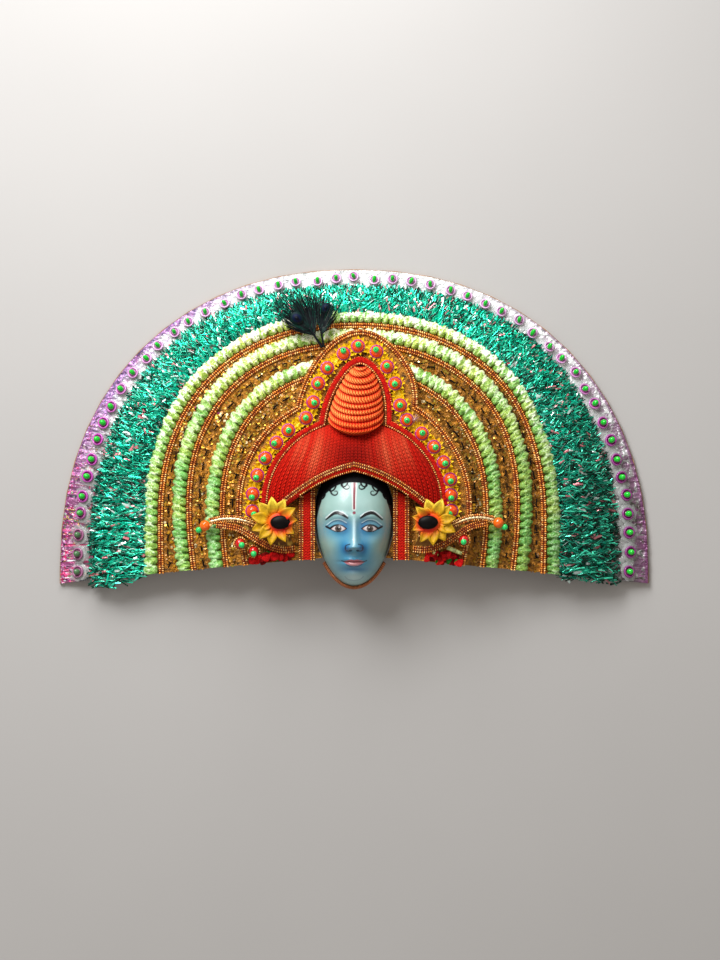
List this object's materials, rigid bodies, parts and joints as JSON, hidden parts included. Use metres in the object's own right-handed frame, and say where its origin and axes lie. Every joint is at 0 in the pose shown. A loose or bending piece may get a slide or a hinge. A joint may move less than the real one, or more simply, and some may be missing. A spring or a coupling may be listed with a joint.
{
  "type": "chhau mask",
  "caption": "Decorative chhau mask: a small hollow painted face under a knitted turban, in a wide fan-shaped headdress of tinsel, ruffled ribbon, bead strings and sequined brocade.",
  "frame": {"origin": "under the middle of the mask, on the surface that its brim lies on", "axes": "+X to the right as seen by someone looking at the face, +Y up the mask towards the top of the fan, +Z out of the face"},
  "size_m": [0.61, 0.3304, 0.0891],
  "materials": {
    "card": "pasted layers of brown paper, matte",
    "foil": "crumpled silver and violet foil under a film of clear varnish",
    "tinsel": "cut metallic green tinsel",
    "ribbon": "gathered lime green satin ribbon",
    "gold_beads": "strung gold beads on red-brown thread",
    "brocade": "old gold brocade with small sequins",
    "foil_petals": "yellow foil petals under orange balls and green beads",
    "felt": "red felt under gold thread braid",
    "orange_knit": "orange knitted yarn",
    "red_knit": "red knitted yarn",
    "painted_paper": "moulded paper, painted blue and varnished",
    "brown_cloth": "brown cotton strip",
    "yellow_cloth": "stiffened yellow cloth petals",
    "black_button": "glossy black",
    "orange_balls": "glossy orange, with a green bead",
    "red_balls": "glossy red",
    "plume": "dark peacock feather"
  },
  "bodies": {
    "root": {"back_panel": "card", "foil_border": "foil", "tinsel_mat": "tinsel", "brocade_ground": "brocade", "ruffle_outer": "ribbon", "ruffle_middle_left": "ribbon", "ruffle_middle_right": "ribbon", "ruffle_inner_left": "ribbon", "ruffle_inner_right": "ribbon", "bead_string_outer": "gold_beads", "bead_string_middle_left": "gold_beads", "bead_string_middle_right": "gold_beads", "bead_string_inner_left": "gold_beads", "bead_string_inner_right": "gold_beads", "crown_board": "brocade", "crown_bead_string": "gold_beads", "crown_stud_row": "foil_petals", "felt_border": "felt", "topknot": "orange_knit", "turban": "red_knit", "brow_band": "red_knit", "side_band_left": "red_knit", "side_band_right": "red_knit", "face": "painted_paper", "chin_binding": "brown_cloth", "flower_left": "yellow_cloth", "flower_right": "yellow_cloth", "flower_eye_left": "black_button", "flower_eye_right": "black_button", "earring_left": "gold_beads", "earring_right": "gold_beads", "ear_drop_left": "orange_balls", "ear_drop_right": "orange_balls", "ear_stud_left_upper": "red_balls", "ear_stud_left_lower": "red_balls", "ear_stud_right": "red_balls", "berry_cluster_left": "red_balls", "berry_cluster_right": "red_balls", "plume_large": "plume", "plume_small": "plume"}
  },
  "joints": []
}
